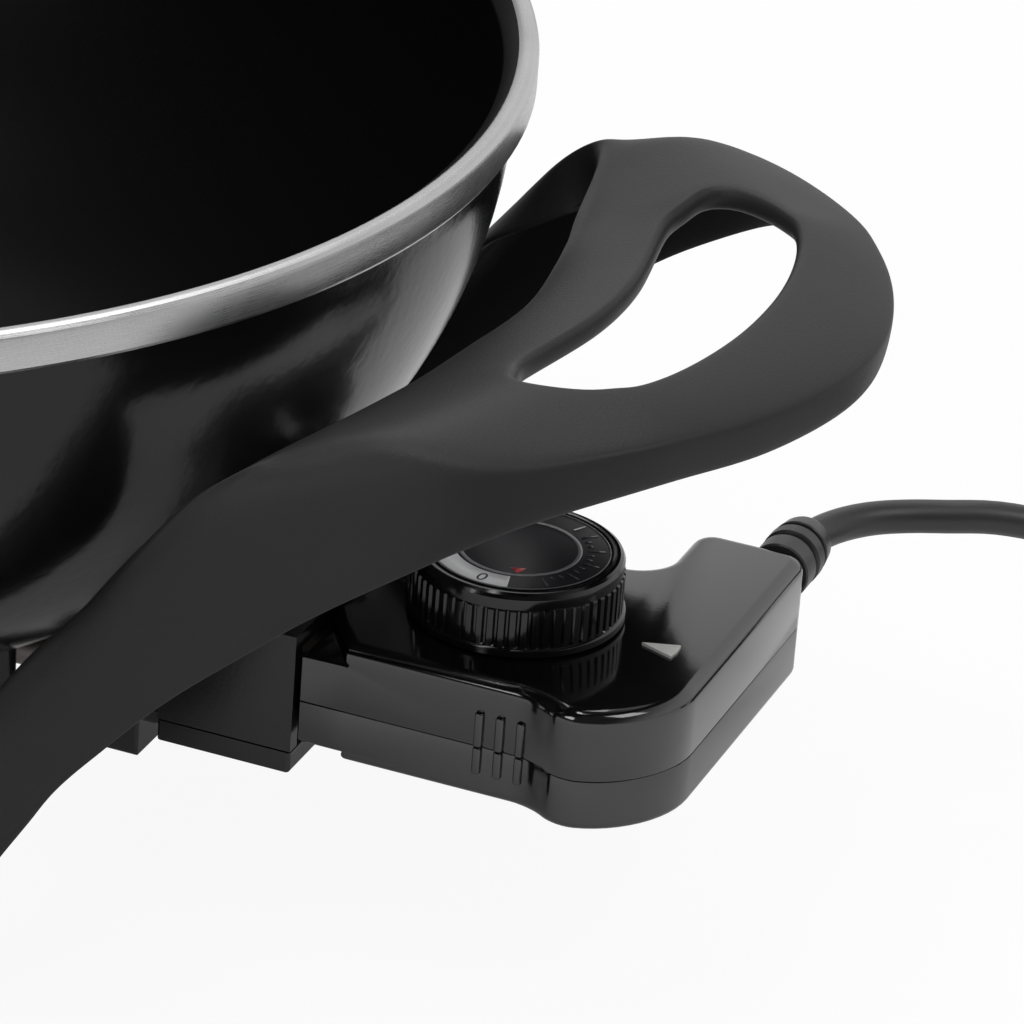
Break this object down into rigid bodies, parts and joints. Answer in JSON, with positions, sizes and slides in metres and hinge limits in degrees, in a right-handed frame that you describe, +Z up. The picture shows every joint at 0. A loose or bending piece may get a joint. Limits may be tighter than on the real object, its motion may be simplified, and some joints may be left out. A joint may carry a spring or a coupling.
{
  "type": "electric wok",
  "caption": "Electric wok: round cast bowl with a bare rim on two looped handle-and-leg frames, with a plug-in dial controller and mains cord.",
  "frame": {"origin": "on the floor, under the bowl's axis", "axes": "+Z up, +X from the bowl to the plug-in controller, +Y to the side the cord leaves by"},
  "size_m": [0.6867, 0.3578, 0.145],
  "materials": {
    "bowl_black": "black non-stick coat on cast aluminium, rim band left bare",
    "element_steel": "oxidised sheath",
    "sheet_steel": "plain pressed sheet",
    "frame_plastic": "fine-grained black moulding",
    "pad_rubber": "black rubber",
    "housing_plastic": "smooth black moulding",
    "screw_steel": "zinc plated",
    "contact_brass": "plain brass",
    "ceramic": "fired ceramic",
    "shell_plastic": "high-gloss black moulding",
    "block_plastic": "heat-proof moulding",
    "probe_steel": "satin rod",
    "blade_metal": "sprung strip",
    "lens_plastic": "milky translucent lens",
    "lamp_glass": "small neon lamp",
    "cord_rubber": "smooth black sheath",
    "knob_plastic": "high-gloss black moulding",
    "label_film": "printed dial film",
    "plug_rubber": "moulded plug",
    "pin_metal": "plated pins"
  },
  "bodies": {
    "wok": {"bowl": "bowl_black", "heating_element": "element_steel", "base_cover": "sheet_steel", "cover_screws": "screw_steel", "right_frame": "frame_plastic", "left_frame": "frame_plastic", "frame_screws": "screw_steel", "foot_pads": "pad_rubber", "socket_housing": "housing_plastic", "socket_tray": "housing_plastic", "socket_screws": "screw_steel", "tray_screws": "screw_steel", "terminal_pins": "pin_metal", "pin_bushings": "ceramic", "earth_pin": "contact_brass"},
    "controller": {"upper_shell": "shell_plastic", "lower_shell": "shell_plastic", "shell_screws": "screw_steel", "contact_block": "block_plastic", "contact_sockets": "contact_brass", "earth_socket": "contact_brass", "probe_rod": "probe_steel", "thermostat_frame": "sheet_steel", "bimetal_blade": "blade_metal", "switch_contacts": "pin_metal", "pilot_lens": "lens_plastic", "pilot_lamp": "lamp_glass", "cord_clamp": "block_plastic", "strain_relief": "cord_rubber", "mains_cord": "cord_rubber", "cord_coil": "cord_rubber", "coil_tie": "block_plastic", "plug_body": "plug_rubber", "plug_pins": "pin_metal"},
    "knob": {"knob": "knob_plastic", "knob_label": "label_film", "knob_shaft": "probe_steel", "shaft_clip": "screw_steel"}
  },
  "joints": [
    {"name": "controller_pull", "type": "slide", "parent": "wok", "child": "controller", "axis": [1, 0, 0], "range_m": [0, 0.06]},
    {"name": "dial_turn", "type": "hinge", "parent": "controller", "child": "knob", "pos_m": [0.174, 0, 0.066], "axis": [0, 0, 1], "range_deg": [-270, 0]}
  ]
}
